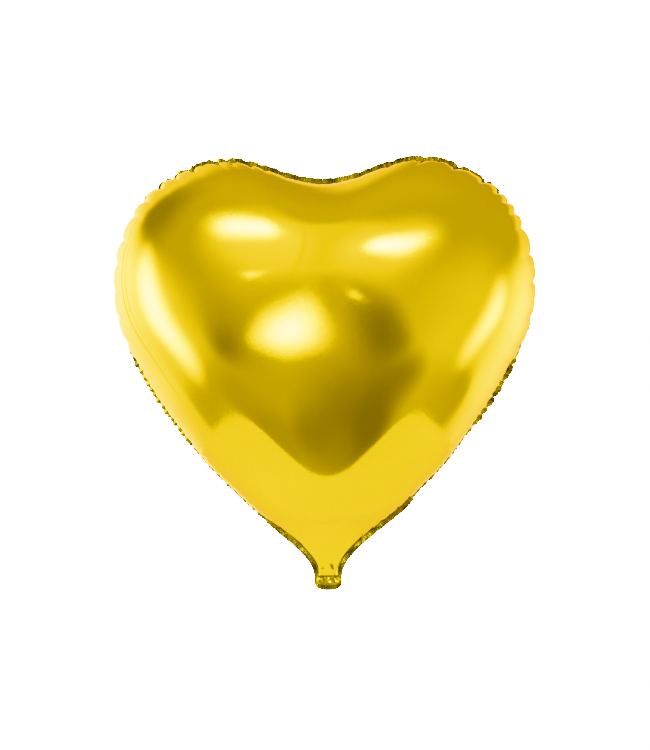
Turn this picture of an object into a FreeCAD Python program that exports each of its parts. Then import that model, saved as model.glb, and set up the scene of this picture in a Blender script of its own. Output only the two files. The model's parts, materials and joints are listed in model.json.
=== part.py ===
import FreeCAD, Part
import math
import os

import Sketcher

# A heart-shaped foil balloon, inflated. Two heart-shaped foil panels are welded together around a flat
# seam, and a flat self-closing valve of two thin clear films lies inside the neck. Below the tie point the
# neck is creased flat, and its tail folds on that crease.
# Frame: origin at the tie point of the neck, +Z up to the lobes, the front panel faces -Y, millimetres.

DRIVING_SIZES = {
    "balloon_width": 345.0,  # over the seam, at the widest place
    "lobe_height": 339.5,  # from the tie point to the top of the lobes
    "widest_height": 234.5,  # from the tie point up to the widest place
    "lobe_spacing": 156.0,  # between the tops of the two lobes
    "notch_depth": 19.0,  # from the top of the lobes down to the notch
    "shoulder_width": 115.6,  # where the sides start to turn into the neck
    "shoulder_height": 47.6,
    "seam_width": 4.5,  # flat weld outside the inflated body
    "body_depth": 190.0,  # front to back, inflated
    "body_centre_height": 195.0,  # where the body is deepest
    "foil": 0.5,
    "neck_width": 24.0,  # over both neck seams
    "neck_lobe_depth": 15.0,  # half depth of the neck where it meets the body
    "crease_drop": 5.7,  # from the tie point down to the fold line
    "crease_room_above": 1.0,  # from the fold line to the end of the neck
    "crease_room_below": 0.3,  # from the fold line to the top of the tail
    "neck_end_depth": 0.26,  # half depth of the space inside the flattened end of the neck
    "tail_length": 11.0,
    "tail_width": 23.0,
    "tail_corner": 7.0,
    "tail_foil": 0.3,
    "valve_film": 0.15,
    "valve_width": 12.0,
    "valve_reach": 78.0,  # from the tie point up into the body
    "valve_mouth_rise": 3.0,  # from the tail's lower edge up to the valve's mouth
    "valve_corner": 2.0,
}
RIM_POINTS = 72
BODY_LEVELS = (0.0, 0.12, 0.27, 0.44, 0.6, 0.75, 0.87, 0.95, 0.99)  # share of the half depth

doc = FreeCAD.newDocument("HeartFoilBalloon")
sheet = doc.addObject("Spreadsheet::Sheet", "Sizes")
for row, (alias, value) in enumerate(DRIVING_SIZES.items(), start=1):
    sheet.set(f"A{row}", alias)
    sheet.set(f"B{row}", str(value))
    sheet.setAlias(f"B{row}", alias)
doc.recompute()


def size(alias):
    return float(sheet.get(alias))


def point(across, up, depth=0.0):
    return FreeCAD.Vector(across, depth, up)


def bezier(*poles):
    curve = Part.BezierCurve()
    curve.setPoles([point(*pole) for pole in poles])
    return curve


def upper_curves():
    """The right half of the seam's outer edge from the notch over the lobe down to the shoulder."""
    lobe_x, top = size("lobe_spacing") / 2, size("lobe_height")
    half_width, widest = size("balloon_width") / 2, size("widest_height")
    notch = [
        point(x, top - size("notch_depth") * (1 + math.cos(math.pi * x / lobe_x)) / 2)
        for x in (lobe_x * step / 6 for step in range(7))
    ]
    inner = Part.BSplineCurve()
    inner.interpolate(
        Points=notch, InitialTangent=point(1, 0), FinalTangent=point(1, 0)
    )
    lobe = Part.BSplineCurve()
    turn = [math.pi / 2 * (1 - step / 8) for step in range(9)]
    lobe.interpolate(
        Points=[
            point(
                lobe_x + (half_width - lobe_x) * math.cos(angle),
                widest + (top - widest) * math.sin(angle),
            )
            for angle in turn
        ],
        InitialTangent=point(1, 0),
        FinalTangent=point(0, -1),
    )
    shoulder_x, shoulder_z = size("shoulder_width") / 2, size("shoulder_height")
    side = bezier(
        (half_width, widest),
        (half_width, 0.68 * widest),
        (shoulder_x + 0.3 * half_width, shoulder_z + 0.2 * widest),
        (shoulder_x, shoulder_z),
    )
    return [inner, lobe, side]


def curve_points(curves, spacing):
    """Points along the curves, about evenly spaced, without the last curve's end."""
    points = []
    for curve in curves:
        edge = curve.toShape()
        count = max(3, round(edge.Length / spacing))
        points += edge.discretize(Number=count + 1)[:-1]
    return points


def mirrored(points):
    """The closed loop made by a right half from the notch to the bottom and its mirror image."""
    return points + [point(-p.x, p.z) for p in reversed(points[1:-1])]


def inset(points, distance):
    """The closed loop moved inwards in its own plane."""
    moved = []
    for index, here in enumerate(points):
        along = points[(index + 1) % len(points)] - points[index - 1]
        inward = point(-along.z, along.x).normalize() * -1
        moved.append(here + inward * distance)
    return moved


def closed_spline(points):
    curve = Part.BSplineCurve()
    curve.interpolate(Points=points, PeriodicFlag=True)
    return Part.Wire(curve.toShape())


def seam_plate():
    """The flat weld of one panel, in the plane of the seam, with the neck's two side welds."""
    half_neck = size("neck_width") / 2
    neck_end = size("crease_room_above") - size("crease_drop")
    shoulder_x, shoulder_z = size("shoulder_width") / 2, size("shoulder_height")
    turn_in = bezier(
        (shoulder_x, shoulder_z),
        (0.68 * shoulder_x, 0.64 * shoulder_z),
        (half_neck, 0.46 * shoulder_z),
        (half_neck, 0),
    )
    right = [curve.toShape() for curve in upper_curves() + [turn_in]]
    right.append(Part.makeLine(point(half_neck, 0), point(half_neck, neck_end)))
    middle, normal = point(0, 0), point(1, 0)
    left = [edge.mirror(middle, normal) for edge in right]
    bottom = Part.makeLine(point(half_neck, neck_end), point(-half_neck, neck_end))
    outline = Part.Wire(Part.__sortEdges__(right + left + [bottom]))
    return Part.Face(outline).extrude(point(0, 0, -size("foil")))


def fullness(angle):
    """How box-like the body's profile is on one ray from its centre: most below the notch."""
    towards_notch = max(0.0, math.sin(angle)) ** 8
    return 2.15 + 0.8 * towards_notch + 0.25 * math.cos(angle) ** 2


def body_bulge(wall):
    """Half of the inflated heart, in front of the seam's plane, drawn in by the wall's thickness."""
    shoulder_x, shoulder_z = size("shoulder_width") / 2, size("shoulder_height")
    tip = bezier(
        (shoulder_x, shoulder_z),
        (0.7 * shoulder_x, 0.68 * shoulder_z),
        (0.3 * shoulder_x, 0.42 * shoulder_z),
        (0, 0.42 * shoulder_z),
    )
    curves = upper_curves() + [tip]
    length = sum(curve.length() for curve in curves)
    half = curve_points(curves, 2 * length / RIM_POINTS) + [tip.EndPoint]
    rim = inset(mirrored(half), size("seam_width") + wall)
    centre = point(0, size("body_centre_height"))
    round_across = 0.42 * size("balloon_width")
    round_up = 0.40 * size("lobe_height")
    depth = size("body_depth") / 2 - wall
    sections = []
    for level in BODY_LEVELS:
        loop = []
        for here in rim:
            out = here - centre
            angle = math.atan2(out.z / round_up, out.x / round_across)
            rounded = point(
                round_across * math.cos(angle), round_up * math.sin(angle)
            )
            share = (1 - level**2) ** (1 / fullness(angle))
            ring = out * share + (rounded - out) * (share * (1 - share))
            loop.append(centre + ring + point(0, 0, -depth * level))
        sections.append(closed_spline(loop))
    return Part.makeLoft(sections, True, False)


def neck_bulge(wall):
    """Half of the inflated neck, from inside the body down to its flattened end."""
    lobe = size("neck_lobe_depth")
    end = size("crease_room_above") - size("crease_drop")
    half_space = size("neck_width") / 2 - size("seam_width")
    stations = (
        (size("shoulder_height"), 3.0 * half_space, 1.3 * lobe),
        (0.62 * size("shoulder_height"), 2.3 * half_space, lobe),
        (0.38 * size("shoulder_height"), 1.75 * half_space, 0.72 * lobe),
        (0.17 * size("shoulder_height"), 1.25 * half_space, 0.36 * lobe),
        (0.0, half_space, 0.13 * lobe),
        (end, half_space, size("neck_end_depth")),
    )
    sections = []
    for up, half_width, depth in stations:
        major, minor = half_width + wall, depth + wall
        # A half lens, flat side in the plane of the seam.
        bow = Part.BSplineCurve()
        bow.interpolate(
            [
                point(major * math.cos(angle), up, -minor * math.sin(angle))
                for angle in (math.pi * step / 8 for step in range(9))
            ]
        )
        chord = Part.makeLine(point(-major, up), point(major, up))
        sections.append(Part.Wire([bow.toShape(), chord]))
    return Part.makeLoft(sections, True, False)


def panel_shape():
    """One foil panel: the bulging heart and neck with the flat weld around them."""
    foil = size("foil")
    outside = body_bulge(0.0).fuse([neck_bulge(0.6 * foil), seam_plate()])
    inside = body_bulge(foil).fuse(neck_bulge(0.0))
    return outside.cut(inside)


def origin_plane(body, role):
    return next(item for item in body.Origin.OriginFeatures if item.Role == role)


def film_body(name, spans, thickness, against_seam, corner, front):
    """A flat film with rounded lower corners: a body with one sketch in the seam's plane and one pad.

    spans holds the expressions of the film's width, top and bottom; against_seam is the expression of
    its distance from the seam's plane, and front tells on which side of that plane it lies.
    """
    width, top, bottom = spans
    body = doc.addObject("PartDesign::Body", name)
    body.Label = name
    sketch = body.newObject("Sketcher::SketchObject", name + "_outline")
    sketch.AttachmentSupport = [(origin_plane(body, "XZ_Plane"), "")]
    sketch.MapMode = "FlatFace"
    vector = FreeCAD.Vector
    corners = [vector(-9, 9, 0), vector(9, 9, 0), vector(9, -5, 0), vector(-9, -5, 0)]
    turn, quarter = 2.0, math.pi / 2
    normal = vector(0, 0, 1)
    right_arc = Part.Circle(corners[2] + vector(-turn, turn, 0), normal, turn)
    left_arc = Part.Circle(corners[3] + vector(turn, turn, 0), normal, turn)
    edges = [
        Part.LineSegment(corners[0], corners[1]),
        Part.LineSegment(corners[1], corners[2] + vector(0, turn, 0)),
        Part.ArcOfCircle(right_arc, -quarter, 0),
        Part.LineSegment(corners[2] - vector(turn, 0, 0), corners[3] + vector(turn, 0, 0)),
        Part.ArcOfCircle(left_arc, 2 * quarter, 3 * quarter),
        Part.LineSegment(corners[3] + vector(0, turn, 0), corners[0]),
    ]
    top_edge, right_edge, right_turn, low_edge, left_turn, left_edge = (
        sketch.addGeometry(edge) for edge in edges
    )
    joints = (
        ("Coincident", top_edge, 2, right_edge, 1),
        ("Tangent", right_edge, 2, right_turn, 2),
        ("Tangent", right_turn, 1, low_edge, 1),
        ("Tangent", low_edge, 2, left_turn, 2),
        ("Tangent", left_turn, 1, left_edge, 1),
        ("Coincident", left_edge, 2, top_edge, 1),
        ("Vertical", right_edge),
        ("Horizontal", low_edge),
        ("Vertical", left_edge),
        ("Equal", right_turn, left_turn),
        ("Symmetric", top_edge, 1, top_edge, 2, -2),
    )
    for joint in joints:
        sketch.addConstraint(Sketcher.Constraint(*joint))
    dimensions = (
        ("width", ("DistanceX", top_edge, 1, top_edge, 2, 18.0), width),
        ("top", ("DistanceY", -1, 1, top_edge, 1, 9.0), top),
        ("bottom", ("DistanceY", -1, 1, low_edge, 1, -5.0), bottom),
        ("corner", ("Radius", right_turn, turn), corner),
    )
    for label, dimension, expression in dimensions:
        index = sketch.addConstraint(Sketcher.Constraint(*dimension))
        sketch.renameConstraint(index, label)
        sketch.setExpression(f"Constraints.{label}", expression)
    sketch.setExpression("AttachmentOffset.Base.z", against_seam if front else f"-({against_seam})")
    pad = body.newObject("PartDesign::Pad", name + "_film")
    pad.Profile = sketch
    pad.setExpression("Length", thickness)
    pad.Reversed = not front
    body.Placement = FreeCAD.Placement()
    return body


front_panel = doc.addObject("Part::Feature", "front_panel")
front_panel.Label = "front_panel"
front_panel.Shape = panel_shape()
front_panel.Placement = FreeCAD.Placement()

back_panel = doc.addObject("Part::Mirroring", "back_panel")
back_panel.Label = "back_panel"
back_panel.Source = front_panel
back_panel.Normal = FreeCAD.Vector(0, 1, 0)
back_panel.Placement = FreeCAD.Placement()

pieces = [front_panel, back_panel]
tail_top = "-Sizes.crease_drop - Sizes.crease_room_below"
tail_end = "-Sizes.crease_drop - Sizes.tail_length"
neck_end = "Sizes.crease_room_above - Sizes.crease_drop"
for side in ("front", "back"):
    facing_front = side == "front"
    pieces.append(
        film_body(
            f"valve_{side}_film",
            ("Sizes.valve_width", "Sizes.valve_reach", neck_end),
            "Sizes.valve_film",
            "0",
            "Sizes.valve_corner",
            facing_front,
        )
    )
    pieces.append(
        film_body(
            f"valve_mouth_{side}_film",
            ("Sizes.valve_width", tail_top, f"{tail_end} + Sizes.valve_mouth_rise"),
            "Sizes.valve_film",
            "0",
            "Sizes.valve_corner",
            facing_front,
        )
    )
    pieces.append(
        film_body(
            f"tail_{side}_panel",
            ("Sizes.tail_width", tail_top, tail_end),
            "Sizes.tail_foil",
            "Sizes.valve_film",
            "Sizes.tail_corner",
            facing_front,
        )
    )

doc.recompute()
for item in doc.Objects:
    if {"Invalid", "Error"} & set(item.State):
        raise RuntimeError(f"{item.Name} did not build: {item.State}")
for piece in pieces:
    shape = piece.Shape
    if shape.isNull() or not shape.isValid() or len(shape.Solids) != 1:
        raise RuntimeError(f"{piece.Label} is not one valid solid")

os.makedirs("parts", exist_ok=True)
for piece in pieces:
    piece.Shape.exportStep(os.path.join("parts", piece.Label + ".step"))
    box = piece.Shape.BoundBox
    print(
        f"{piece.Label}: {piece.Shape.Volume:.1f} mm3, "
        f"X {box.XMin:.2f} to {box.XMax:.2f}, Y {box.YMin:.2f} to {box.YMax:.2f}, "
        f"Z {box.ZMin:.2f} to {box.ZMax:.2f}"
    )
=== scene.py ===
import json
import math

import bpy
import numpy as np
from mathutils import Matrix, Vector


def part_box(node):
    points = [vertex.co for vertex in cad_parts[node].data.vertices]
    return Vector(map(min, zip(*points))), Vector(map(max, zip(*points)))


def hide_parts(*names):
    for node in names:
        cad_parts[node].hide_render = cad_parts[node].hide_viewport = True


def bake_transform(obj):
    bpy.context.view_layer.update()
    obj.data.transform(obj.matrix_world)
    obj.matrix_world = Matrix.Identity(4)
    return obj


# A gold heart-shaped foil balloon. The film's shape is worked out as a real one gets it: two flat
# hearts of film that can't stretch are filled until they are taut, and the flat heart is found whose
# filled outline is the frame's. The welded seam then gathers into scallops, because its length can't
# shrink.

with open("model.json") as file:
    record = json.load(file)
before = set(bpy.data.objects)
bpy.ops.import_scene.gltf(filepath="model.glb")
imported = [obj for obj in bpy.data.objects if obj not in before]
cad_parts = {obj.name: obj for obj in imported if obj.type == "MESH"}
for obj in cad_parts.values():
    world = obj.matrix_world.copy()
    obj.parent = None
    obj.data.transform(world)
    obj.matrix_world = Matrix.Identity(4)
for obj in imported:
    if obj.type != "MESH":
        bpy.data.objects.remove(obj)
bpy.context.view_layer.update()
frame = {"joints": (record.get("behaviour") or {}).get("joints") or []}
MM = 0.001

# The foil's lengths are in millimetres. The materials, the stage and the camera are in metres.
_, front_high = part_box("front_panel")
HALF_WIDTH, _, TOP = np.array(front_high) / MM
CREASE = frame["joints"][0]["pos_m"][2] / MM
SEAM_WIDTH = 4.5
SHOULDER_X, SHOULDER_Z = 0.335 * HALF_WIDTH, 0.1402 * TOP
CENTRE = np.array([0.0, 195.0])  # the polar mesh's middle, as x and z
HARMONICS = 18  # waves round the rim in Film
SMOOTH_HARMONICS = 8  # waves round the rim kept of the relaxed film
RADIAL_TERMS = 11  # degree of Film's polynomials from rim to centre
PATCH_DEGREE, PATCH_SCALE = 6, 60  # Film's polynomial patch over the middle
PATCH_REACH, PATCH_BLEND = 0.34, (0.1, 0.3)  # shares of the way from centre to rim
# Where the welded edge lies turned back, so that the filled film itself is the outline: how far it
# is turned, the heights between which that begins, and the heights between which it ends.
TURNED_BACK = ((0.7, (10, 35), (80, 120)), (0.95, (155, 215), (0.88 * TOP, 0.98 * TOP)))
rng = np.random.default_rng(7)


def smoothstep(value, low=0.0, high=1.0):
    share = np.clip((value - low) / (high - low), 0, 1)
    return share * share * (3 - 2 * share)


def bell(value, width):
    return np.exp(-((value / width) ** 2))


# ---- outlines in the seam's plane, as x and z in millimetres, clockwise from the notch ----


def bezier(poles, count):
    t = np.linspace(0, 1, count, endpoint=False)[:, None]
    a, b, c, d = (np.array(pole, float) for pole in poles)
    return (1 - t) ** 3 * a + 3 * (1 - t) ** 2 * t * b + 3 * (1 - t) * t**2 * c + t**3 * d


def resample(loop, count):
    closed = np.vstack([loop, loop[:1]])
    run = np.r_[0, np.cumsum(np.linalg.norm(np.diff(closed, axis=0), axis=1))]
    at = np.arange(count) / count * run[-1]
    return np.c_[np.interp(at, run, closed[:, 0]), np.interp(at, run, closed[:, 1])]


def outward(loop):
    """Unit vectors that point out of a clockwise loop."""
    along = np.roll(loop, -1, 0) - np.roll(loop, 1, 0)
    along /= np.linalg.norm(along, axis=1)[:, None]
    return np.c_[-along[:, 1], along[:, 0]]


def seam_outline(lower_end, count):
    """The seam's inner edge: notch, lobe, side and then the given lower end down to the middle."""
    lobe_x, notch, widest = 0.4522 * HALF_WIDTH, 0.056 * TOP, 0.6907 * TOP
    x = np.linspace(0, lobe_x, 60, endpoint=False)
    inner = np.c_[x, TOP - notch * (1 + np.cos(np.pi * x / lobe_x)) / 2]
    turn = np.linspace(np.pi / 2, 0, 80, endpoint=False)
    lobe = np.c_[
        lobe_x + (HALF_WIDTH - lobe_x) * np.cos(turn),
        widest + (TOP - widest) * np.sin(turn),
    ]
    side = bezier(
        [
            (HALF_WIDTH, widest),
            (HALF_WIDTH, 0.68 * widest),
            (SHOULDER_X + 0.3 * HALF_WIDTH, SHOULDER_Z + 0.2 * widest),
            (SHOULDER_X, SHOULDER_Z),
        ],
        120,
    )
    right = np.vstack([inner, lobe, side, lower_end])
    loop = resample(np.vstack([right, right[-2:0:-1] * [-1, 1]]), 4 * count)
    turned_back = sum(
        share * smoothstep(loop[:, 1], *begin) * (1 - smoothstep(loop[:, 1], *end))
        for share, begin, end in TURNED_BACK
    )
    loop = loop - (SEAM_WIDTH * (1 - turned_back))[:, None] * outward(loop)
    for _ in range(6):
        loop = (np.roll(loop, 1, 0) + 2 * loop + np.roll(loop, -1, 0)) / 4
    return resample(loop, count)


def round_end():
    """The heart's own rounded point, as if it had no neck."""
    poles = [
        (SHOULDER_X, SHOULDER_Z),
        (0.7 * SHOULDER_X, 0.68 * SHOULDER_Z),
        (0.3 * SHOULDER_X, 0.42 * SHOULDER_Z),
        (0, 0.42 * SHOULDER_Z),
    ]
    return np.vstack([bezier(poles, 40), [[0, 0.42 * SHOULDER_Z]]])


# ---- filling the flat hearts ----


def polar_mesh(rim, rings):
    """A flat film's points, rings from the rim inwards and then the centre, and its triangles."""
    count = len(rim)
    share = 1 - np.arange(rings) / rings
    flat = CENTRE + (rim - CENTRE)[None] * share[:, None, None]
    flat = np.vstack([flat.reshape(-1, 2), CENTRE])
    i, j = np.meshgrid(np.arange(rings - 1), np.arange(count), indexing="ij")
    a, b = (i * count + j).ravel(), (i * count + (j + 1) % count).ravel()
    c, d = a + count, b + count
    even = ((i + j) % 2 == 0).ravel()[:, None]
    first = np.where(even, np.c_[a, b, c], np.c_[a, b, d])
    second = np.where(even, np.c_[b, d, c], np.c_[a, d, c])
    last = np.arange(count) + (rings - 1) * count
    fan = np.c_[last, np.roll(last, -1), np.full(count, rings * count)]
    return flat, np.vstack([first, second, fan])


def fill(flat, triangles, film, rim_count, stiffness, steps):
    """Relaxes the front film under unit pressure, in damped steps that grow while they help.

    It resists stretching and folds freely. Its rim stays in the seam's plane, where the back film
    holds it."""
    u0, v0 = (flat[triangles[:, k]] - flat[triangles[:, 0]] for k in (1, 2))
    area = 0.5 * (u0[:, 0] * v0[:, 1] - u0[:, 1] * v0[:, 0])
    inverse = np.linalg.inv(np.stack([u0, v0], 2))
    side, area = np.sign(area), np.abs(area)
    total = len(film)
    weight = (inverse**2).sum((1, 2)) * area * stiffness
    mass = sum(np.bincount(triangles[:, k], weight, total) for k in range(3))[:, None]
    speed, step_size, mix, good = np.zeros_like(film), 0.5, 0.1, 0
    for _ in range(steps):
        origin = film[triangles[:, 0]]
        u, v = film[triangles[:, 1]] - origin, film[triangles[:, 2]] - origin
        stretch = np.stack([u, v], 2) @ inverse
        fx, fy = stretch[:, :, 0], stretch[:, :, 1]
        a, b, c = (fx * fx).sum(1), (fx * fy).sum(1), (fy * fy).sum(1)
        middle = 0.5 * (a + c)
        spread = np.sqrt(np.maximum(0.25 * (a - c) ** 2 + b * b, 1e-18))
        long, short = np.sqrt(middle + spread), np.sqrt(np.maximum(middle - spread, 1e-12))
        pull_long = stiffness * np.maximum(long - 1, 0) / long
        pull_short = stiffness * np.maximum(short - 1, 0) / short
        mean, half = 0.5 * (pull_long + pull_short) * area, 0.5 * (pull_long - pull_short) * area
        across, shear = half * 0.5 * (a - c) / spread, half * b / spread
        g1 = fx * (mean + across)[:, None] + fy * shear[:, None]
        g2 = fx * shear[:, None] + fy * (mean - across)[:, None]
        h1 = g1 * inverse[:, 0, 0, None] + g2 * inverse[:, 0, 1, None]
        h2 = g1 * inverse[:, 1, 0, None] + g2 * inverse[:, 1, 1, None]
        push = np.cross(u, v) * (side / 6)[:, None]
        corner_force = (h1 + h2 + push, push - h1, push - h2)
        force = np.empty_like(film)
        for axis in range(3):
            force[:, axis] = sum(
                np.bincount(triangles[:, k], corner_force[k][:, axis], total) for k in range(3)
            )
        force[:rim_count, 1] = 0
        gain = force / mass
        if (force * speed).sum() > 0:
            fast = np.sqrt((speed**2 * mass).sum() / max((gain**2 * mass).sum(), 1e-20))
            speed = (1 - mix) * speed + mix * gain * fast
            good += 1
            if good > 5:
                step_size, mix = min(step_size * 1.1, 1.0), mix * 0.99
        else:
            speed[:] = 0
            step_size, mix, good = max(step_size * 0.5, 0.1), 0.1, 0
        speed += step_size * gain
        film = film + step_size * speed
    return film


def finer(film, rings, count, new_rings, new_count):
    """The film's places on a finer polar mesh."""
    centre = np.repeat(film[-1][None, None], count, 1)
    grid = np.concatenate([film[:-1].reshape(rings, count, 3), centre], 0)
    i, j = np.arange(new_rings) / new_rings * rings, np.arange(new_count) / new_count * count
    i0, j0 = i.astype(int), j.astype(int)
    wi, wj = (i - i0)[:, None, None], (j - j0)[None, :, None]
    j1 = (j0 + 1) % count
    low = grid[i0][:, j0] * (1 - wj) + grid[i0][:, j1] * wj
    high = grid[i0 + 1][:, j0] * (1 - wj) + grid[i0 + 1][:, j1] * wj
    return np.vstack([(low * (1 - wi) + high * wi).reshape(-1, 3), film[-1]])


def short_of(rim, target):
    """How far each rim point lies inside the target outline."""
    away = target[None] - rim[:, None]
    near = np.argmin((away**2).sum(2), axis=1)
    return (away[np.arange(len(rim)), near] * outward(target)[near]).sum(1)


def filled_heart():
    """Places of the front film on a polar grid, rings from the rim inwards, and the flat rim."""
    target = seam_outline(round_end(), 384)
    count, rings, steps, stiffness = 48, 12, 700, 20000.0
    flat_excess, first_shrink, first_depth = 1.27, 0.8, 80
    flat_rim = CENTRE + (resample(target, count) - CENTRE) * flat_excess
    film = None
    for attempt in range(7):
        flat, triangles = polar_mesh(flat_rim, rings)
        if film is None:
            share = np.r_[np.repeat(1 - np.arange(rings) / rings, count), 0]
            film = np.c_[
                first_shrink * flat[:, 0],
                -first_depth * np.sqrt(1 - share**2),
                CENTRE[1] + first_shrink * (flat[:, 1] - CENTRE[1]),
            ]
        film = fill(flat, triangles, film, count, stiffness, steps * (1 if attempt else 3))
        rim = film[:count, [0, 2]]
        rim = (rim + np.roll(rim[::-1], 1, 0) * [-1, 1]) / 2
        flat_rim = flat_rim + 0.9 * short_of(rim, target)[:, None] * outward(flat_rim)
        flat_rim = (np.roll(flat_rim, 1, 0) + 4 * flat_rim + np.roll(flat_rim, -1, 0)) / 6
        flat_rim = resample(flat_rim, count)
    for new_count, new_rings, steps in ((96, 24, 1500), (144, 36, 1200)):
        film = finer(film, rings, count, new_rings, new_count)
        spectrum = np.fft.fft(flat_rim[:, 0] + 1j * flat_rim[:, 1])
        wide = np.zeros(new_count, complex)
        wide[: count // 2] = spectrum[: count // 2]
        wide[-count // 2 :] = spectrum[-count // 2 :]
        wide = np.fft.ifft(wide) * new_count / count
        flat_rim, count, rings = np.c_[wide.real, wide.imag], new_count, new_rings
        flat, triangles = polar_mesh(flat_rim, rings)
        film = fill(flat, triangles, film, count, stiffness, steps)
    grid = film[:-1].reshape(rings, count, 3)
    grid = (grid + np.roll(grid[:, ::-1], 1, 1) * [-1, 1, 1]) / 2
    waves = np.fft.fft(grid, axis=1)
    waves[:, SMOOTH_HARMONICS + 1 : -SMOOTH_HARMONICS] = 0
    grid = np.fft.ifft(waves, axis=1).real
    rim = grid[0][:, [0, 2]]
    near_rim = ((1 - np.arange(rings) / rings) ** 3)[:, None, None]
    for _ in range(2):
        short = short_of(grid[0][:, [0, 2]], target)
        grid[:, :, [0, 2]] += near_rim * (short[:, None] * outward(rim))[None]
    grid[:, :, 1] -= grid[0, :, 1]
    centre = np.repeat(film[-1][None, None] * [0, 1, 1], count, 1)
    return np.concatenate([grid, centre], 0), flat_rim


class Film:
    """The filled film as a smooth function of u, 0 to 1 round the rim, and s, rim to centre."""

    def __init__(self, grid, flat_rim):
        count = grid.shape[1]
        self.flat_rim = np.vstack([flat_rim, flat_rim[:1]]) - CENTRE
        share = 1 - np.linspace(0, 1, grid.shape[0])
        inner = share < PATCH_REACH
        near = share[inner, None, None] * self.flat_rim[None, :-1]
        inner_places = grid[inner].reshape(-1, 3)
        self.patch = np.linalg.lstsq(self.powers(near), inner_places, rcond=None)[0]
        s = np.linspace(-1, 1, grid.shape[0])
        basis = np.polynomial.chebyshev.chebvander(s, RADIAL_TERMS)
        terms = np.linalg.lstsq(basis, grid.reshape(len(s), -1), rcond=None)[0]
        waves = np.fft.fft(terms.reshape(-1, count, 3), axis=1) / count
        orders = np.r_[0 : HARMONICS + 1, -HARMONICS:0]
        self.orders, self.waves = orders, waves[:, orders]

    def __call__(self, u, s):
        basis = np.polynomial.chebyshev.chebvander(2 * np.atleast_1d(s) - 1, RADIAL_TERMS)
        terms = np.tensordot(basis, self.waves, (1, 0))
        turn = np.exp(2j * np.pi * np.outer(self.orders, u))
        places = np.einsum("smk,mu->suk", terms, turn).real
        at = np.linspace(0, 1, len(self.flat_rim))
        flat = np.stack([np.interp(u, at, self.flat_rim[:, k]) for k in (0, 1)], -1)
        share = 1 - np.atleast_1d(s)[:, None, None]
        patch = (self.powers(share * flat[None]) @ self.patch).reshape(places.shape)
        return patch + (places - patch) * smoothstep(share, *PATCH_BLEND)

    @staticmethod
    def powers(flat):
        """Terms of a smooth surface over the flat film's middle, where the mesh's spokes meet."""
        x, z = flat.reshape(-1, 2).T / PATCH_SCALE
        terms = PATCH_DEGREE + 1
        return np.stack([x**i * z**j for i in range(terms) for j in range(terms - i)], -1)


grid, flat_rim = filled_heart()
film = Film(grid, flat_rim)
FLAT_SIZE = np.ptp(flat_rim, axis=0) + 2 * SEAM_WIDTH
print("flat heart, mm:", FLAT_SIZE.round(1), "half depth, mm:", -grid[:, :, 1].min().round(1))

# ---- the neck, drawn out of the heart's rounded point ----

NECK_END = CREASE + 0.3
NECK_FOOT = (7.7, -2)  # the seam at the neck's foot, as x and z
NECK_END_HALF = 7.6
SIDE_LINE_HALF = 7.4  # the seam's side lines are wider than this down to the neck's end
# Half the thickness at heights from the neck's end to the top of the funnel.
NECK_DEPTHS = (
    (NECK_END, 0.25), (0, 2.4), (8, 5.5), (16, 8.6), (25, 16),
    (35, 28.6), (45, 41), (60, 59.2), (70, 65.4),
)
# The heights where the lens section and its depth begin to turn into the heart's own, and end.
FUNNEL_LENS, FUNNEL_DEPTH, FUNNEL_TOP = 34, 38, 58
SPOKE_RINGS = 60  # rings from the rim over which the lowest spoke is read
fine_u = np.linspace(0, 1, 12001)
round_rim = film(fine_u, 0.0)[0][:, [0, 2]]


def run_along(line):
    return np.r_[0, np.cumsum(np.linalg.norm(np.diff(line, axis=0), axis=1))]


def along_line(line, share):
    run = run_along(line)
    at = np.asarray(share) * run[-1]
    return np.c_[np.interp(at, run, line[:, 0]), np.interp(at, run, line[:, 1])]


def rim_with_neck():
    """The seam line at fine_u with the neck in place of the rounded point."""
    half = len(fine_u) // 2
    first = int(np.argmax(round_rim[: half + 1, 1] < SHOULDER_Z + 4))
    old = round_rim[first : half + 1]
    start, along = old[0], old[1] - old[0]
    along /= np.linalg.norm(along)
    poles = [start, start + 21 * along, (8.9, 16.5), NECK_FOOT]
    end = [NECK_FOOT, (NECK_END_HALF, NECK_END), (0, NECK_END)]
    new = np.vstack([bezier(poles, 200), end])
    run = run_along(old)
    rim = round_rim.copy()
    rim[first : half + 1] = along_line(new, run / run[-1])
    rim[half:] = rim[half::-1] * [-1, 1]
    return rim


necked_rim = rim_with_neck()
side_low = necked_rim[(fine_u < 0.5) & (necked_rim[:, 0] > SIDE_LINE_HALF)]


def half_at(up):
    """Half the width between the two seams at a height in the neck or funnel."""
    return np.interp(up, side_low[::-1, 1], side_low[::-1, 0])


def neck_depth(up):
    """Half the neck's and funnel's thickness at a height, drawn smoothly through NECK_DEPTHS."""
    heights = np.arange(NECK_DEPTHS[0][0], NECK_DEPTHS[-1][0], 0.5)
    depths = np.interp(heights, *np.array(NECK_DEPTHS).T)
    for _ in range(60):
        depths[1:-1] = (depths[:-2] + 2 * depths[1:-1] + depths[2:]) / 4
    return np.interp(up, heights, depths)


def evenly(count):
    """Places u round the rim, even along the seam but closer together at the neck."""
    extra, reach = 60, 60
    run = run_along(necked_rim)
    middle = run[-1] / 2
    weight = run + extra * smoothstep(run, middle - reach, middle + reach)
    at = np.arange(count) / count
    u = np.interp(at * weight[-1], weight, fine_u)
    return u, np.interp(u, fine_u, run), run[-1]


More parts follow.
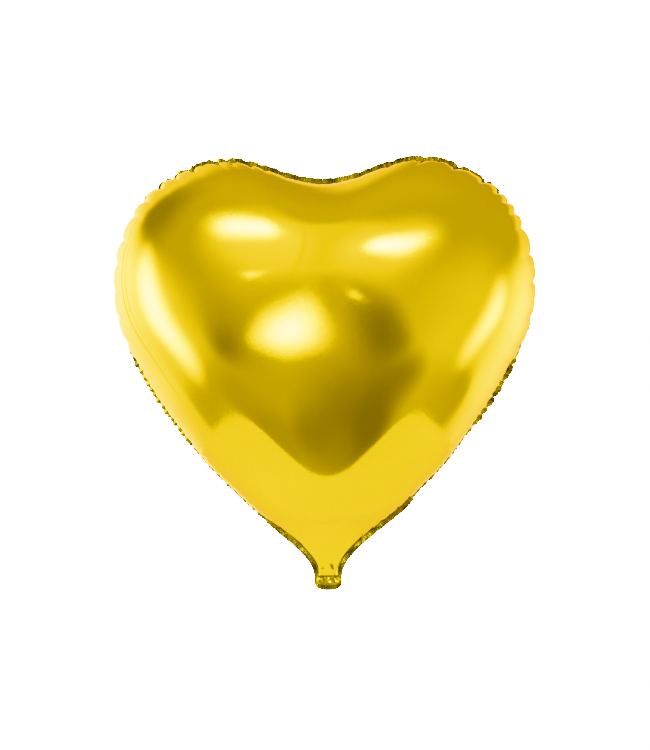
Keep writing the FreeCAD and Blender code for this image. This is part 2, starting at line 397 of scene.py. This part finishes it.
COLUMNS = 1792
column_u, column_run, SEAM_LENGTH = evenly(COLUMNS)
HALVINGS = (0.058, 0.20, 0.55)  # from each of these shares inwards, the rings have half the columns
BODY_SHARES = np.r_[
    0, 0.0012, 0.003, 0.0052, 0.008, 0.0115, 0.0155, 0.02, 0.025, 0.0305, 0.0365, 0.043, 0.05,
    np.linspace(HALVINGS[0], HALVINGS[1], 17, endpoint=False),
    np.linspace(HALVINGS[1], HALVINGS[2], 25, endpoint=False),
    np.linspace(HALVINGS[2], 0.975, 24),
]


def necked_film():
    """The smooth film at every ring and column, with its neck, as x, y and z."""
    places = film(column_u, BODY_SHARES)
    moved = necked_rim - round_rim
    shift = np.stack([np.interp(column_u, fine_u, moved[:, k]) for k in (0, 1)], -1)
    reach = np.exp(-BODY_SHARES / 0.03) * (1 - smoothstep(BODY_SHARES, 0.1, 0.35))
    places[:, :, [0, 2]] += reach[:, None, None] * shift[None]
    x, y, z = places[..., 0], places[..., 1], places[..., 2]
    middle = COLUMNS // 2
    upper = np.interp(z, z[:SPOKE_RINGS, middle], -y[:SPOKE_RINGS, middle])
    lower = neck_depth(z)
    depth = lower + (upper - lower) * smoothstep(z, FUNNEL_DEPTH, FUNNEL_TOP)
    across = np.clip(np.abs(x) / np.maximum(half_at(z), 1), 0, 1)
    lens = -depth * np.sqrt(1 - across**2)
    fade = smoothstep(z, FUNNEL_LENS, FUNNEL_TOP)
    places[..., 1] = np.where(z < FUNNEL_TOP, lens + (y - lens) * fade, y)
    return places


smooth = necked_film()
FILM_CENTRE = film(np.array([0.0]), 1.0)[0, 0]

# ---- scallops, creases and crinkles: x is the seam's run from the notch, clockwise, in mm ----

RIGHT_CREASES = (33, 60, 86, 114, 139, 154, 164, 175, 188, 210, 233, 263, 287, 304, 321, 333, 350)
LEFT_CREASES = (36, 54, 66, 82, 91, 113, 128, 143, 159, 174, 195, 215, 237, 259, 280, 296)
NECK_FREE = 45  # no small crease begins nearer than this to the neck's middle
# run, scallop depth, fine pitch, the edge's lean to the back in degrees, its swing in degrees
RIGHT_EDGE = (
    (0, 0.3, 3.6, 14, 34),
    (50, 0.8, 3.8, 4, 36),
    (95, 2.3, 4.2, 8, 32),
    (150, 2.8, 5.0, 52, 14),
    (190, 2.6, 6.0, 74, 5),
    (225, 2.2, 6.0, 78, 4),
    (278, 1.3, 6.5, 68, 8),
    (296, 0.9, 7.5, 60, 10),
    (302, 0.8, 7.5, 22, 44),
    (352, 0.6, 7.0, 28, 44),
    (375, 0.3, 4.6, 68, 12),
    (438, 0.3, 4.4, 64, 14),
    (450, 0.6, 6.5, -4, 46),
    (500, 0.3, 6.0, 0, 34),
)
LEFT_EDGE = (
    (0, 0.3, 3.6, 14, 34),
    (50, 1.0, 3.8, 4, 36),
    (85, 2.3, 4.2, 10, 32),
    (130, 2.7, 5.0, 44, 16),
    (175, 2.1, 6.0, 76, 4),
    (285, 1.0, 6.0, 78, 4),
    (298, 0.5, 5.2, 48, 24),
    (372, 0.4, 4.8, 48, 28),
    (392, 0.3, 4.6, 72, 10),
    (480, 0.3, 4.6, 64, 16),
    (500, 0.3, 5.5, 4, 32),
)


def round_the_seam(right, left, column):
    """A value that the two tables give along the right and the left half of the seam."""
    right, left = np.array(right, float), np.array(left, float)
    a = np.interp(column_run, right[:, 0], right[:, column])
    b = np.interp(SEAM_LENGTH - column_run, left[:, 0], left[:, column])
    return a + (b - a) * smoothstep(column_run, SEAM_LENGTH / 2 - 4, SEAM_LENGTH / 2 + 4)


scallop_depth, fine_pitch, lean, swing = (
    round_the_seam(RIGHT_EDGE, LEFT_EDGE, column) for column in range(1, 5)
)


def crease_runs(drawn, shortest, longest):
    """Where one half's creases are: the drawn ones, then small ones down to the neck."""
    runs = list(drawn)
    while runs[-1] < SEAM_LENGTH / 2 - NECK_FREE:
        runs.append(runs[-1] + rng.uniform(shortest, longest))
    return np.array(runs, float)


right_runs = crease_runs(RIGHT_CREASES, 8, 15)
left_runs = crease_runs(LEFT_CREASES, 7, 14)
creases = np.r_[0, right_runs, SEAM_LENGTH - left_runs[::-1], SEAM_LENGTH]
cell = np.searchsorted(creases, column_run, side="right") - 1
cell = np.clip(cell, 0, len(creases) - 2)
in_cell = (column_run - creases[cell]) / (creases[cell + 1] - creases[cell])
cushion = 1 - np.abs(2 * in_cell - 1) ** 2.6
to_crease = np.minimum(column_run - creases[cell], creases[cell + 1] - column_run)
nearest = np.where(in_cell < 0.5, cell, cell + 1) % (len(creases) - 1)


def ripple(pitch, jitter):
    """A wave along the seam from -1 to 1 whose pitch and height vary from one fold to the next."""
    step = np.diff(np.r_[column_run, SEAM_LENGTH])
    phase = np.cumsum(step / pitch)
    phase *= round(phase[-1]) / phase[-1]
    folds = round(phase[-1])
    warp = np.cumsum(1 + jitter * rng.uniform(-1, 1, folds))
    warp = np.r_[0, warp * folds / warp[-1]]
    height = 0.55 + 0.45 * rng.uniform(0, 1, folds + 1)
    turned = np.interp(phase, warp, np.arange(folds + 1))
    wave = np.abs(2 * (turned % 1) - 1) * 2 - 1
    wave = wave * np.interp(turned, np.arange(folds + 1), height)
    return (np.roll(wave, 1) + 2 * wave + np.roll(wave, -1)) / 4


fine = ripple(fine_pitch, 0.35)
folds = ripple(fine_pitch * 2.1, 0.4)
fold_side = rng.choice([-1, 1], 400)  # more than there are creases
near_neck = smoothstep(np.abs(column_run - SEAM_LENGTH / 2), 20, 75)
rim_out = outward(smooth[0][:, [0, 2]])
rim_out = np.c_[rim_out[:, 0], np.zeros(COLUMNS), rim_out[:, 1]]
TO_BACK = np.array([0.0, 1.0, 0.0])
CRUMPLE_FADE = (18, 34)  # heights between which the neck's crumpling ends

crumple_ways = rng.uniform(0, np.pi, 9)
crumple_sizes = rng.uniform(4.0, 9.0, 9)
crumple_starts = rng.uniform(0, 2, 9)


def crumple(x, z):
    """Height of crumpled foil: flat facets between sharp folds."""
    total = 0
    for way, size, start in zip(crumple_ways, crumple_sizes, crumple_starts):
        along = (x * np.cos(way) + z * np.sin(way)) / size + start
        total = total + size * (np.abs(along % 2 - 1) - 0.5)
    return 0.075 * total


def neck_middle(x, z):
    """Where the neck and tail's middle surface is in y: crumpled in the tail and in the fins."""
    fin = smoothstep(np.abs(x) - half_at(z), 0, 3.5)
    return crumple(x, z) * (1 - smoothstep(z, -5, 7) * (1 - fin))


def scallops(side):
    """The whole film of one side with its creases, rings from the rim inwards."""
    spots = smooth * [1, -side, 1]
    along_film = np.linalg.norm(np.diff(smooth, axis=0), axis=2)
    deep = np.vstack([np.zeros(COLUMNS), np.cumsum(along_film, axis=0)])
    around = np.roll(spots, -1, 1) - np.roll(spots, 1, 1)
    inward = np.gradient(spots, axis=0)
    normal = np.cross(around, inward) * side
    normal /= np.maximum(np.linalg.norm(normal, axis=2), 1e-9)[..., None]
    normal[0] = rim_out
    # Cushions between the creases, a groove along each crease, then folds and fine crinkles.
    height = scallop_depth * (cushion - 0.4) * (smoothstep(deep, 0, 6) * bell(deep, 20))
    height -= 0.6 * scallop_depth * bell(to_crease, 1.2) * bell(deep, 15)
    height += 0.35 * near_neck * folds * smoothstep(deep, 0, 4) * bell(deep, 14)
    height += 0.30 * near_neck * fine * np.exp(-deep / 3.5) * side
    # The seam itself is drawn in at each crease and folds there to the front or the back.
    held = bell(deep, 6)[..., None]
    pinch = bell(to_crease, 2.4)
    seam_in = -0.9 * scallop_depth * pinch
    folded = 0.7 * fold_side[nearest] * pinch * np.minimum(scallop_depth, 1)
    seam_y = near_neck * (0.45 * fine + folded)
    moved = spots + normal * (height * smoothstep(deep, 0, 1))[..., None]
    moved += held * (seam_in[:, None] * rim_out + seam_y[:, None] * TO_BACK)[None]
    low = 1 - smoothstep(spots[..., 2], *CRUMPLE_FADE)
    moved[..., 1] += low * neck_middle(spots[..., 0], spots[..., 2])
    return moved


EDGE_ROWS = 9
# The tail's outline on the right, as poles: its side, from a first pole on the edge above, and its
# end.
TAIL_SIDE = ((11.2, -4), (11.1, -6.5), (11.5, -9.7))
TAIL_END = ((11.5, -9.7), (11.4, -14.2), (7.6, -16.7), (0, -16.7))
TAIL_SIDE_TOP = 3.0


def flange():
    """The middle surface of the welded edge and the tail, rows from the seam outwards."""
    seam = scallops(-1)[0]
    wave = 0.75 * fine + 0.45 * folds
    tilt = np.radians(lean + swing * wave)
    away = np.cos(tilt)[:, None] * rim_out + np.sin(tilt)[:, None] * TO_BACK
    steps = np.linspace(0, 1, EDGE_ROWS)[:, None, None]
    curl = (steps * (1 - steps)) * (0.5 * near_neck * folds)[None, :, None] * TO_BACK
    width = SEAM_WIDTH * (1 + 0.06 * fine)
    edge = seam[None] + steps * (width[:, None] * away)[None] + curl
    low = 1 - smoothstep(seam[:, 2], 30, 52)
    flat = seam[None] + steps * (SEAM_WIDTH * rim_out)[None]
    below = seam[:, 2] < TAIL_SIDE_TOP
    for half_side in (1, -1):
        columns = np.flatnonzero(below & (smooth[0][:, 0] * half_side > 0))
        above = flat[-1, columns[0] - 1 if half_side > 0 else columns[-1] + 1]
        tail_side = bezier([(abs(above[0]), above[2]), *TAIL_SIDE], 40)
        line = np.vstack([tail_side, bezier(TAIL_END, 40), [TAIL_END[-1]]])
        run = np.abs(column_run[columns] - SEAM_LENGTH / 2)
        share = 1 - run / (run.max() + 0.4)
        outer = along_line(line, share) * [half_side, 1]
        inner = seam[columns][:, [0, 2]]
        flat[:, columns] = seam[None, columns]
        mixed = inner[None] + steps * (outer - inner)[None]
        flat[:, columns, 0], flat[:, columns, 2] = mixed[..., 0], mixed[..., 1]
    on_seam = np.arange(EDGE_ROWS)[:, None] == 0
    crumpled = neck_middle(flat[..., 0], flat[..., 2])
    flat[..., 1] = np.where(on_seam, seam[None, :, 1], crumpled)
    return edge + low[None, :, None] * (flat - edge)


edge_rows = flange()

# ---- foil pieces ----


# The weld's darker material is painted shade and painted dark reflection. It covers the whole edge
# above the crease and the tail's outer rows, and it covers a band on either side of the crease,
# where it is the crease's painted shade.
TAIL_WELD_SHADE_ROWS, CREASE_SHADE_BAND = 3, 0.9
HALF_GAP = 0.06  # half the distance between the two panels in the welded edge


def ring_counts():
    """How many columns each ring of the body has."""
    return COLUMNS // 2 ** sum((BODY_SHARES >= share).astype(int) for share in HALVINGS)


def edge_with_gap(side):
    """The welded edge of one side: the middle surface moved off by half the panels' distance."""
    around = np.roll(edge_rows, -1, 1) - np.roll(edge_rows, 1, 1)
    out = np.gradient(edge_rows, axis=0)
    normal = np.cross(around, out)
    normal /= np.maximum(np.linalg.norm(normal, axis=2), 1e-9)[..., None]
    gap = HALF_GAP * np.minimum(np.arange(EDGE_ROWS), 1)[:, None, None]
    return edge_rows - normal * gap * side


def foil_mesh(name, side):
    """One foil panel. side is -1 for the front panel and 1 for the back one."""
    rows = list(edge_with_gap(side)[:0:-1])
    body = scallops(side)
    rows += [ring[:: COLUMNS // count] for ring, count in zip(body, ring_counts())]
    starts = np.r_[0, np.cumsum([len(row) for row in rows])]
    faces = []
    for k in range(len(rows) - 1):
        a, b = len(rows[k]), len(rows[k + 1])
        for j in range(b):
            n = (j + 1) % b
            if a == b:
                face = [starts[k] + j, starts[k] + n, starts[k + 1] + n, starts[k + 1] + j]
            else:
                face = [starts[k] + 2 * j, starts[k] + 2 * j + 1, starts[k] + (2 * j + 2) % a]
                face += [starts[k + 1] + n, starts[k + 1] + j]
            faces.append([int(v) for v in (face if side < 0 else face[::-1])])
    rows.append((FILM_CENTRE * [1, -side, 1])[None])
    last = len(rows[-2])
    for j in range(last):
        face = [int(starts[-2] + j), int(starts[-2] + (j + 1) % last), int(starts[-1])]
        faces.append(face if side < 0 else face[::-1])
    points = np.vstack(rows)
    piece = make_piece(name, points, faces)
    height = points[[face[0] for face in faces], 2]
    row = np.arange(len(faces)) // COLUMNS
    # Faces given the painted-shade material: the welded edge, the tail's outer rows, and the
    # crease's painted shade band.
    welded = (row < EDGE_ROWS - 1) & ((height > CREASE) | (row < TAIL_WELD_SHADE_ROWS))
    welded |= np.abs(height - CREASE) < CREASE_SHADE_BAND
    piece.data.polygons.foreach_set("material_index", welded.astype(int).tolist())
    return piece


def make_piece(name, points, faces):
    """An object from points in millimetres."""
    mesh = bpy.data.meshes.new(name)
    mesh.from_pydata((points * MM).tolist(), [], faces)
    mesh.polygons.foreach_set("use_smooth", [True] * len(mesh.polygons))
    piece = bpy.data.objects.new(name, mesh)
    bpy.context.scene.collection.objects.link(piece)
    return piece


def valve_film(name, side):
    """One of the clear valve's two thin films, flat in the neck and crumpled with the tail."""
    half, low, high, columns, rows = 6.0, -13.7, 78.0, 12, 110
    x, z = np.meshgrid(np.linspace(-half, half, columns + 1), np.linspace(low, high, rows + 1))
    bow = 1.2 * smoothstep(z, 5, 60) * (1 - (x / half) ** 2)
    y = neck_middle(x, z) * (1 - smoothstep(z, 8, 14)) + side * (0.03 + bow)
    index = np.arange((columns + 1) * (rows + 1)).reshape(rows + 1, columns + 1)
    corners = [index[:-1, :-1], index[:-1, 1:], index[1:, 1:], index[1:, :-1]]
    quads = np.stack(corners, -1).reshape(-1, 4)
    if side > 0:
        quads = quads[:, ::-1]
    return make_piece(name, np.stack([x, y, z], -1).reshape(-1, 3), quads.tolist())


def principled(name, **inputs):
    material = bpy.data.materials.new(name)
    material.use_nodes = True
    shader = material.node_tree.nodes["Principled BSDF"]
    for key, value in inputs.items():
        shader.inputs[key.replace("_", " ")].default_value = value
    return material, material.node_tree, shader


def map_range(tree, value, given, wanted, interpolation="LINEAR"):
    """Takes a value from the given range to the wanted one, and holds it at both ends."""
    node = tree.nodes.new("ShaderNodeMapRange")
    node.interpolation_type = interpolation
    ends = zip(("From Min", "From Max", "To Min", "To Max"), (*given, *wanted))
    for socket, number in ends:
        node.inputs[socket].default_value = number
    tree.links.new(value, node.inputs["Value"])
    return node.outputs["Result"]


def mixed_noise(tree, size, detail, low, high, seed):
    """A value that wanders from low to high over spots of the given size in metres."""
    coordinates = tree.nodes.new("ShaderNodeTexCoord")
    noise = tree.nodes.new("ShaderNodeTexNoise")
    noise.noise_dimensions = "4D"
    noise.inputs["W"].default_value = seed
    noise.inputs["Scale"].default_value = 1 / size
    noise.inputs["Detail"].default_value = detail
    tree.links.new(coordinates.outputs["Object"], noise.inputs["Vector"])
    return map_range(tree, noise.outputs["Fac"], (0.3, 0.7), (low, high))


def textured(tree, shader, colours, patch, roughness, grain, relief):
    """Gives a material two tones in soft patches, uneven gloss and a fine relief, all in metres."""
    tone = tree.nodes.new("ShaderNodeMix")
    tone.data_type = "RGBA"
    tone.inputs["A"].default_value, tone.inputs["B"].default_value = colours
    tree.links.new(mixed_noise(tree, patch, 3, 0, 1, 1.0), tone.inputs["Factor"])
    tree.links.new(tone.outputs["Result"], shader.inputs["Base Color"])
    gloss = mixed_noise(tree, 0.6 * patch, 5, *roughness, 2.0)
    tree.links.new(gloss, shader.inputs["Roughness"])
    bump = tree.nodes.new("ShaderNodeBump")
    bump.inputs["Strength"].default_value = 1.0
    bump.inputs["Distance"].default_value = relief
    tree.links.new(mixed_noise(tree, grain, 2, 0, 1, 3.0), bump.inputs["Height"])
    tree.links.new(bump.outputs["Normal"], shader.inputs["Normal"])


gold, tree, shader = principled(
    "gold_foil",
    Metallic=1.0,
    Coat_Weight=0.12,
    Specular_Tint=(1.0, 0.78, 0.12, 1),
    Coat_Roughness=0.03,
    Coat_IOR=1.5,
)
textured(
    tree,
    shader,
    colours=((0.90, 0.635, 0.003, 1), (0.86, 0.60, 0.002, 1)),
    patch=0.05,
    roughness=(0.08, 0.12),
    grain=0.004,
    relief=6e-6,
)
# The welded edge's foil, in patches from near black to gold: its dark tone is painted shade and
# painted dark reflection.
seam_painted_shade, tree, shader = principled(
    "welded_seam_painted_shade", Metallic=1.0, Coat_Weight=0.2, Specular_Tint=(0.8, 0.6, 0.2, 1)
)
textured(
    tree,
    shader,
    colours=((0.04, 0.02, 0.001, 1), (0.50, 0.36, 0.006, 1)),
    patch=0.011,
    roughness=(0.12, 0.3),
    grain=0.0012,
    relief=1.2e-4,
)
clear, tree, shader = principled("clear_film", Transmission_Weight=0.9, IOR=1.3)
textured(
    tree,
    shader,
    colours=((0.95, 0.96, 0.97, 1), (0.91, 0.93, 0.95, 1)),
    patch=0.012,
    roughness=(0.08, 0.2),
    grain=0.003,
    relief=3e-5,
)

# name: what builds it, its side, its material, its slot, and the CAD nodes it replaces
pieces = {
    "front_foil": (foil_mesh, -1, gold, "gold_foil", ("front_panel", "tail_front_panel")),
    "back_foil": (foil_mesh, 1, gold, "gold_foil", ("back_panel", "tail_back_panel")),
    "valve_front": (
        valve_film, -1, clear, "clear_film", ("valve_front_film", "valve_mouth_front_film"),
    ),
    "valve_back": (
        valve_film, 1, clear, "clear_film", ("valve_back_film", "valve_mouth_back_film"),
    ),
}
for name, (build, side, material, slot, nodes) in pieces.items():
    piece = build(name, side)
    piece.data.materials.append(material)
    # The foil panels' second material is the weld's painted shade and painted dark reflection.
    if slot == "gold_foil":
        piece.data.materials.append(seam_painted_shade)
    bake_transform(piece)
    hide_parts(*nodes)

# ---- stage, lights and camera ----

FLOOR_Z = -0.35
# The right half of the table's outline, from the middle of its front, as x and y.
TABLE_EDGE = (
    (0.05, -0.38), (0.14, -0.43), (0.32, -0.51), (0.50, -0.58), (0.64, -0.59),
    (0.675, -0.42), (0.675, 0.0), (0.675, 1.3), (0.6, 1.5), (0.2, 1.5),
)
ROOM_RADIANCE = 0.62  # where no light or card is
WHITE_CARD = 30.0  # radiance of what the camera itself sees behind the balloon
# What the foil mirrors, seen from the balloon: azimuth 0 is towards the camera and grows to the
# camera's right.
# name, azimuth, elevation, half width, half height, tilt, softness, radiance
STUDIO_LIGHTS = (
    ("ceiling", 0, 90, 400, 20, 0, 0.6, 0.68),
    ("dark_upper_left", -102, 44, 30, 20, 0, 0.8, 0.36),
    ("left_haze", -152, 26, 28, 27, 0, 0.4, 1.2),
    ("backdrop", 180, -5, 72, 34, 0, 0.12, 1.2),
    ("left_low", -142, -34, 40, 30, 0, 0.15, 1.0),
    ("right_low", 142, -34, 40, 30, 0, 0.15, 1.05),
    ("left_wall", -120, -3, 64, 25, 0, 0.5, 1.9),
    ("right_wall", 125, -10, 62, 20, 0, 0.4, 1.3),
    ("right_glow", 48, -4, 28, 22, 0, 1.0, 0.95),
    ("left_window", -79, -2, 12, 19, 25, 0.8, 14.0),
    ("far_left_window", -138, 4, 36, 18, 0, 0.9, 5.0),
    ("left_frame", -125, -2, 1.4, 27, 22, 0.6, 0.9),
    ("left_frame_inner", -117, 1, 1.0, 20, 22, 0.6, 1.2),
    ("right_window", 78, -9, 9, 10, 0, 0.9, 6.0),
    ("far_right_window", 122, -9, 24, 15, 0, 0.9, 3.6),
    ("right_frame", 92, -31, 16, 5, -12, 0.7, 0.6),
    ("umbrella", 0, 44, 30, 34, 0, 0.12, 1.0),
    ("umbrella_left_glow", -22, 48, 12, 26, 0, 0.9, 1.35),
    ("umbrella_left", -28, 54, 2.9, 8.6, -4, 0.95, 28.0),
    ("umbrella_right_glow", 20, 38, 10, 18, -12, 0.9, 1.35),
    ("umbrella_right", 25, 38, 2.5, 6.4, -15, 0.95, 28.0),
    ("umbrella_seam", -13, 42, 0.7, 32, -4, 0.7, 0.85),
    ("dark_lower_left", -27, -41, 26, 16, 0, 0.4, 0.5),
    ("dark_lower_right", 16, -32, 18, 22, 0, 0.6, 0.27),
    ("dark_left_of_centre", -31, -3, 9, 9, 0, 0.9, 0.36),
    ("dark_right_of_centre", 15, 0, 6, 8, -12, 0.9, 0.26),
    ("front_softbox", -9.5, 0.3, 7.4, 4.8, -14, 0.9, 16.0),
    ("small_softbox", -22.8, 20.1, 1.8, 1.4, -17, 0.4, 3.2),
    ("glint", 10.6, 7.9, 2.4, 0.5, 16, 0.5, 3.0),
)


def studio_world(name):
    """A studio: each light or dark card is a soft ellipse in azimuth and elevation."""
    world = bpy.data.worlds.new(name)
    world.use_nodes = True
    tree = world.node_tree
    nodes, links = tree.nodes, tree.links
    nodes.clear()

    def math_node(operation, *values):
        node = nodes.new("ShaderNodeMath")
        node.operation = operation
        for socket, value in zip(node.inputs, values):
            if isinstance(value, (int, float)):
                socket.default_value = value
            else:
                links.new(value, socket)
        return node.outputs[0]

    split = nodes.new("ShaderNodeSeparateXYZ")
    links.new(nodes.new("ShaderNodeTexCoord").outputs["Generated"], split.inputs[0])
    x, y, z = split.outputs
    degrees = 180 / math.pi
    turn = math_node("ARCTAN2", x, math_node("MULTIPLY", y, -1))
    azimuth = math_node("MULTIPLY", turn, degrees)
    elevation = math_node("MULTIPLY", math_node("ARCSINE", z), degrees)
    stops = math.log2(ROOM_RADIANCE)
    for _, centre_az, centre_el, wide, high, tilt, soft, radiance in STUDIO_LIGHTS:
        c, s = math.cos(math.radians(tilt)), math.sin(math.radians(tilt))
        across = math_node("WRAP", math_node("SUBTRACT", azimuth, centre_az), 180, -180)
        up = math_node("SUBTRACT", elevation, centre_el)
        u, v = (
            math_node("ADD", math_node("MULTIPLY", across, a), math_node("MULTIPLY", up, b))
            for a, b in ((c / wide, s / wide), (-s / high, c / high))
        )
        square = math_node("ADD", math_node("MULTIPLY", u, u), math_node("MULTIPLY", v, v))
        far = math_node("POWER", square, 0.5)
        mask = map_range(tree, far, (1 - soft, 1 + soft), (1.0, 0.0), "SMOOTHSTEP")
        step = math_node("SUBTRACT", math.log2(radiance), stops)
        stops = math_node("ADD", stops, math_node("MULTIPLY", step, mask))
    seen = nodes.new("ShaderNodeBackground")
    seen.inputs["Color"].default_value = (1, 1, 1, 1)
    seen.inputs["Strength"].default_value = WHITE_CARD
    studio = nodes.new("ShaderNodeBackground")
    links.new(math_node("POWER", 2.0, stops), studio.inputs["Strength"])
    # Dim parts of the studio are a little warm and bright ones a little cool.
    warmth = map_range(tree, stops, (math.log2(0.35), math.log2(1.1)), (0.9, 1.0))
    coolness = map_range(tree, stops, (math.log2(1.2), math.log2(5.0)), (1.0, 1.25))
    colour = nodes.new("ShaderNodeCombineColor")
    colour.inputs["Red"].default_value = 1.0
    links.new(coolness, colour.inputs["Blue"])
    links.new(math_node("MULTIPLY", warmth, coolness), colour.inputs["Green"])
    links.new(colour.outputs[0], studio.inputs["Color"])
    mix = nodes.new("ShaderNodeMixShader")
    links.new(nodes.new("ShaderNodeLightPath").outputs["Is Camera Ray"], mix.inputs[0])
    links.new(studio.outputs[0], mix.inputs[1])
    links.new(seen.outputs[0], mix.inputs[2])
    links.new(mix.outputs[0], nodes.new("ShaderNodeOutputWorld").inputs["Surface"])
    return world


def lit_floor(name):
    """A white table top that glows a little, with a shallow bay in the middle of its front edge."""
    right = np.array(TABLE_EDGE)
    ring = np.vstack([right, right[::-1] * [-1, 1]])
    for _ in range(3):
        after = np.roll(ring, -1, 0)
        ring = np.stack([0.75 * ring + 0.25 * after, 0.25 * ring + 0.75 * after], 1).reshape(-1, 2)
    ring = [(x, y, FLOOR_Z) for x, y in ring.tolist()]
    mesh = bpy.data.meshes.new(name)
    mesh.from_pydata(ring, [], [list(range(len(ring)))])
    floor = bpy.data.objects.new(name, mesh)
    bpy.context.scene.collection.objects.link(floor)
    material, tree, shader = principled(
        "white_acrylic", Emission_Color=(1, 1, 1, 1), Emission_Strength=0.32
    )
    textured(
        tree,
        shader,
        colours=((0.86, 0.86, 0.86, 1), (0.83, 0.83, 0.83, 1)),
        patch=0.4,
        roughness=(0.6, 0.75),
        grain=0.003,
        relief=2e-5,
    )
    mesh.materials.append(material)


lit_floor("floor")
bpy.context.scene.world = studio_world("studio")

DISTANCE, FRAME_HEIGHT = 2.5, 0.615  # in metres, FRAME_HEIGHT at the balloon
SENSOR = 36
ROLL = 0.7
camera_data = bpy.data.cameras.new("camera")
camera_data.sensor_fit = "VERTICAL"
camera_data.sensor_height = SENSOR
camera_data.lens = SENSOR * DISTANCE / FRAME_HEIGHT
camera = bpy.data.objects.new("camera", camera_data)
camera.location = (-0.0006, -DISTANCE, 0.160)
camera.rotation_euler = (math.pi / 2, math.radians(ROLL), 0)
bpy.context.scene.collection.objects.link(camera)
bpy.context.scene.camera = camera
bpy.context.scene.view_settings.view_transform = "Khronos PBR Neutral"
